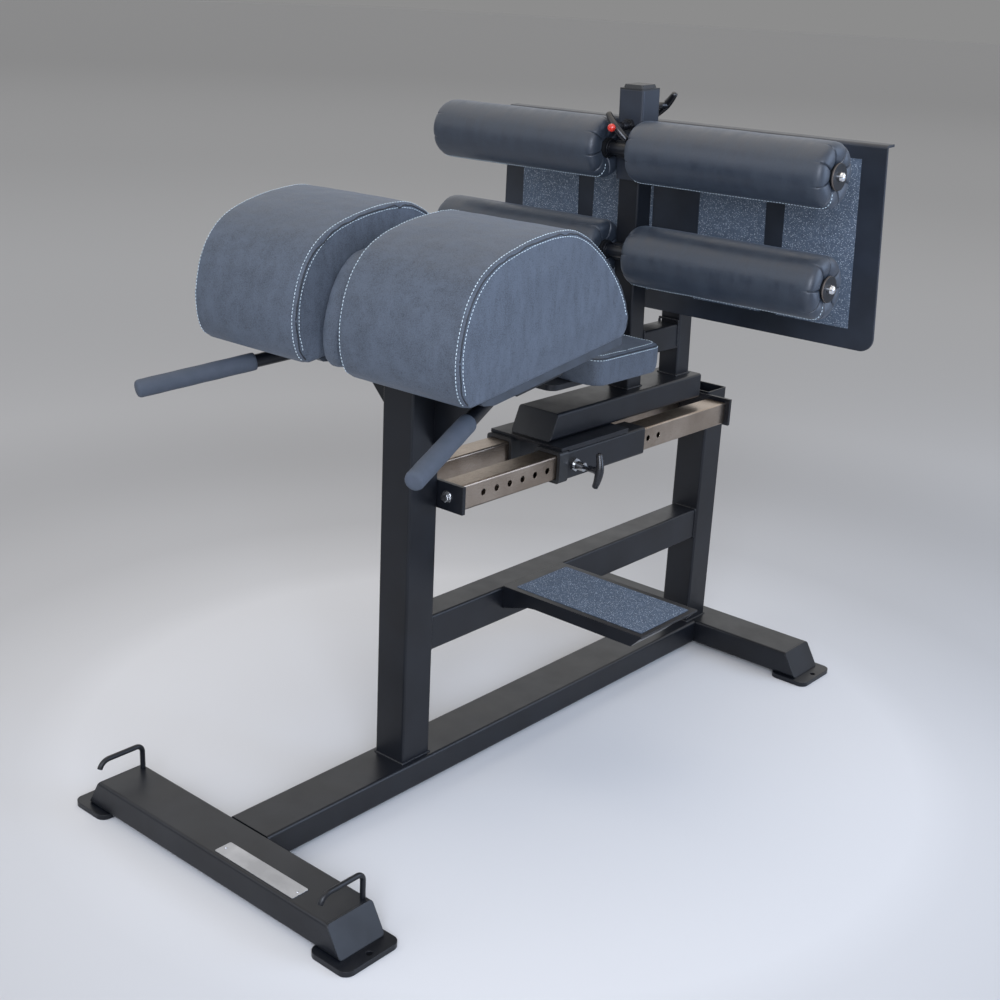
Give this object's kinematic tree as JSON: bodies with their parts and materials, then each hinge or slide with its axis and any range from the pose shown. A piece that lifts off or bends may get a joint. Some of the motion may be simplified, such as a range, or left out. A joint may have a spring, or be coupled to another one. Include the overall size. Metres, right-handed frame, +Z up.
{
  "type": "glute ham developer",
  "caption": "Bench for back and hamstring exercise: curved thigh pads and handles in front, a sliding carriage with padded ankle rollers and an upright foot plate behind.",
  "frame": {"origin": "on the floor, under the middle of the base", "axes": "+X to the right as seen from the handles, +Y from the handles to the foot plate, +Z up"},
  "size_m": [0.9936, 1.592, 1.3325],
  "materials": {
    "frame_coat": "satin powder coat",
    "rail_steel": "brushed",
    "pad_vinyl": "grained",
    "roller_leather": "smooth",
    "grip_sheet": "gritty",
    "hand_rubber": "matte",
    "bare_aluminium": "brushed",
    "plated_steel": "polished",
    "chrome": "polished",
    "black_plastic": "matte",
    "black_metal": "gloss",
    "red_plastic": "gloss",
    "pad_board": "painted"
  },
  "bodies": {
    "base": {"base_beam": "frame_coat", "front_cross_beam": "frame_coat", "rear_cross_beam": "frame_coat", "beam_ends": "frame_coat", "foot_plates": "frame_coat", "band_hooks": "frame_coat", "name_plate": "bare_aluminium", "name_plate_rivets": "bare_aluminium", "front_upright": "frame_coat", "rear_upright": "frame_coat", "mid_crossbar": "frame_coat", "step_tray": "frame_coat", "step_grip": "grip_sheet", "rail_left": "rail_steel", "rail_right": "rail_steel", "rail_plates": "frame_coat", "rail_bolts": "plated_steel", "head_brackets": "frame_coat", "handle_rods": "frame_coat", "hand_grips": "hand_rubber", "pad_head": "frame_coat", "pad_boards": "pad_board", "thigh_pad_left": "pad_vinyl", "thigh_pad_right": "pad_vinyl", "pad_bridge": "pad_vinyl"},
    "carriage": {"sleeve_left": "frame_coat", "sleeve_right": "frame_coat", "sleeve_liners": "black_plastic", "sleeve_collars": "black_plastic", "carriage_plate": "frame_coat", "top_beam": "frame_coat", "top_beam_ends": "frame_coat", "rail_pin_housing": "plated_steel", "knee_block": "frame_coat", "knee_pad": "pad_vinyl", "roller_post": "frame_coat", "link_tube": "frame_coat", "rear_post": "frame_coat", "foot_plate": "frame_coat", "plate_grips": "grip_sheet", "lower_axle": "frame_coat", "lower_nuts": "chrome"},
    "rail_pull_pin": {"rail_pin": "black_metal"},
    "roller_slider": {"roller_sleeve": "frame_coat", "sleeve_cap": "black_plastic", "upper_axle": "frame_coat", "upper_nuts": "chrome", "roller_pin_housings": "plated_steel"},
    "front_pull_pin": {"front_pin": "black_metal", "front_pin_tip": "red_plastic"},
    "rear_pull_pin": {"rear_pin": "black_metal"},
    "upper_left_roller": {"upper_core_left": "black_plastic", "upper_roller_left": "roller_leather"},
    "upper_right_roller": {"upper_core_right": "black_plastic", "upper_roller_right": "roller_leather"},
    "lower_left_roller": {"lower_core_left": "black_plastic", "lower_roller_left": "roller_leather"},
    "lower_right_roller": {"lower_core_right": "black_plastic", "lower_roller_right": "roller_leather"}
  },
  "joints": [
    {"name": "carriage_slide", "type": "slide", "parent": "base", "child": "carriage", "axis": [0, 1, 0], "range_m": [-0.2667, 0.3048]},
    {"name": "rail_pin_pull", "type": "slide", "parent": "carriage", "child": "rail_pull_pin", "axis": [1, 0, 0], "range_m": [0, 0.012], "stiffness_N_per_m": 900, "springref_m": -0.008},
    {"name": "roller_height", "type": "slide", "parent": "carriage", "child": "roller_slider", "axis": [0, -0.0436, 0.999], "range_m": [-0.0127, 0.0254]},
    {"name": "front_pin_pull", "type": "slide", "parent": "roller_slider", "child": "front_pull_pin", "axis": [0, -0.999, -0.0436], "range_m": [0, 0.012], "stiffness_N_per_m": 900, "springref_m": -0.008},
    {"name": "rear_pin_pull", "type": "slide", "parent": "roller_slider", "child": "rear_pull_pin", "axis": [0, 0.999, 0.0436], "range_m": [0, 0.012], "stiffness_N_per_m": 900, "springref_m": -0.008},
    {"name": "upper_left_spin", "type": "hinge", "parent": "roller_slider", "child": "upper_left_roller", "pos_m": [0, 0.31053, 1.20371], "axis": [1, 0, 0], "continuous": true},
    {"name": "upper_right_spin", "type": "hinge", "parent": "roller_slider", "child": "upper_right_roller", "pos_m": [0, 0.31053, 1.20371], "axis": [1, 0, 0], "continuous": true},
    {"name": "lower_left_spin", "type": "hinge", "parent": "carriage", "child": "lower_left_roller", "pos_m": [0, 0.32465, 0.99513], "axis": [1, 0, 0], "continuous": true},
    {"name": "lower_right_spin", "type": "hinge", "parent": "carriage", "child": "lower_right_roller", "pos_m": [0, 0.32465, 0.99513], "axis": [1, 0, 0], "continuous": true}
  ]
}
